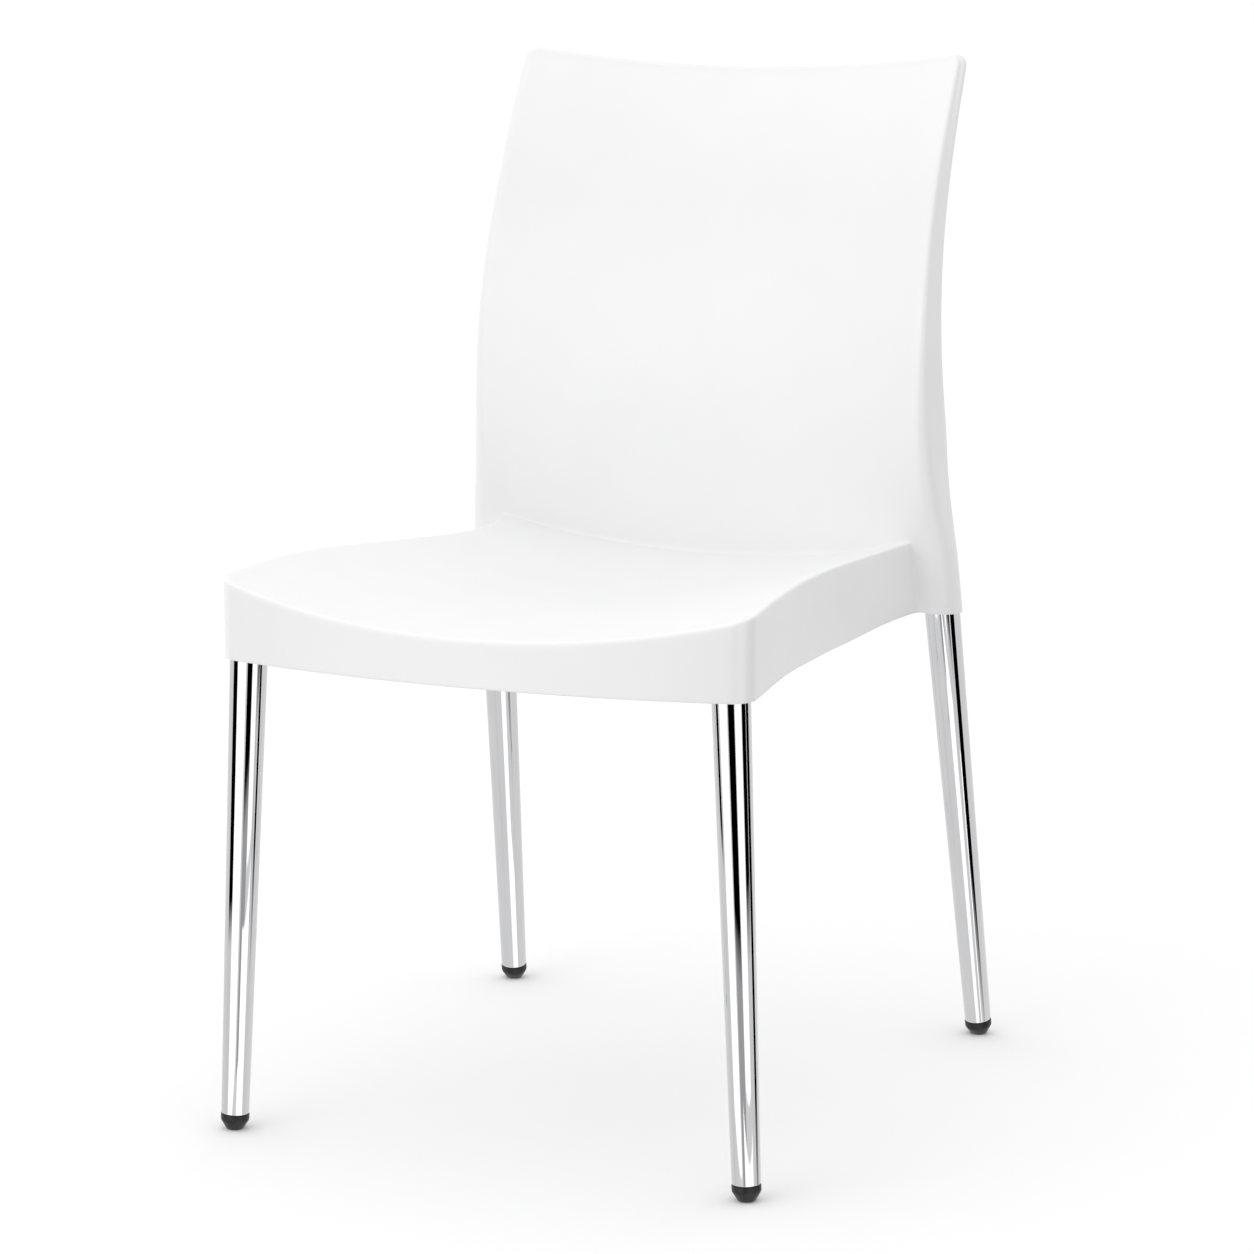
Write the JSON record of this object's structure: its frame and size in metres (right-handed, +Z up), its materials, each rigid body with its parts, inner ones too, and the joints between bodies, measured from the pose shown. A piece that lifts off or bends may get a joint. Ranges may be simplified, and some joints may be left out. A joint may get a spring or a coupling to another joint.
{
  "type": "stacking chair",
  "caption": "Rigid stacking chair: one-piece moulded plastic seat and back on splayed, tapered chromed tube legs with black foot glides.",
  "frame": {"origin": "on the floor, under the middle of the chair's bounding box", "axes": "+Z up, the sitter faces -Y, +X towards the sitter's left hand, which is on the right when the chair is seen from the front"},
  "size_m": [0.476, 0.5634, 0.85],
  "materials": {
    "shell_plastic": "satin white moulded polypropylene",
    "leg_chrome": "bright chrome on steel tube",
    "glide_black": "satin black moulded plastic",
    "plug_nylon": "natural nylon",
    "screw_steel": "zinc plated steel",
    "washer_steel": "zinc plated steel"
  },
  "bodies": {
    "root": {"seat_shell": "shell_plastic", "leg_front_left": "leg_chrome", "leg_front_right": "leg_chrome", "leg_rear_left": "leg_chrome", "leg_rear_right": "leg_chrome", "glide_front_left": "glide_black", "glide_front_right": "glide_black", "glide_rear_left": "glide_black", "glide_rear_right": "glide_black", "tube_plug_front_left": "plug_nylon", "tube_plug_front_right": "plug_nylon", "tube_plug_rear_left": "plug_nylon", "tube_plug_rear_right": "plug_nylon", "leg_screw_front_left": "screw_steel", "leg_screw_front_right": "screw_steel", "leg_screw_rear_left": "screw_steel", "leg_screw_rear_right": "screw_steel", "screw_washer_front_left": "washer_steel", "screw_washer_front_right": "washer_steel", "screw_washer_rear_left": "washer_steel", "screw_washer_rear_right": "washer_steel"}
  },
  "joints": []
}
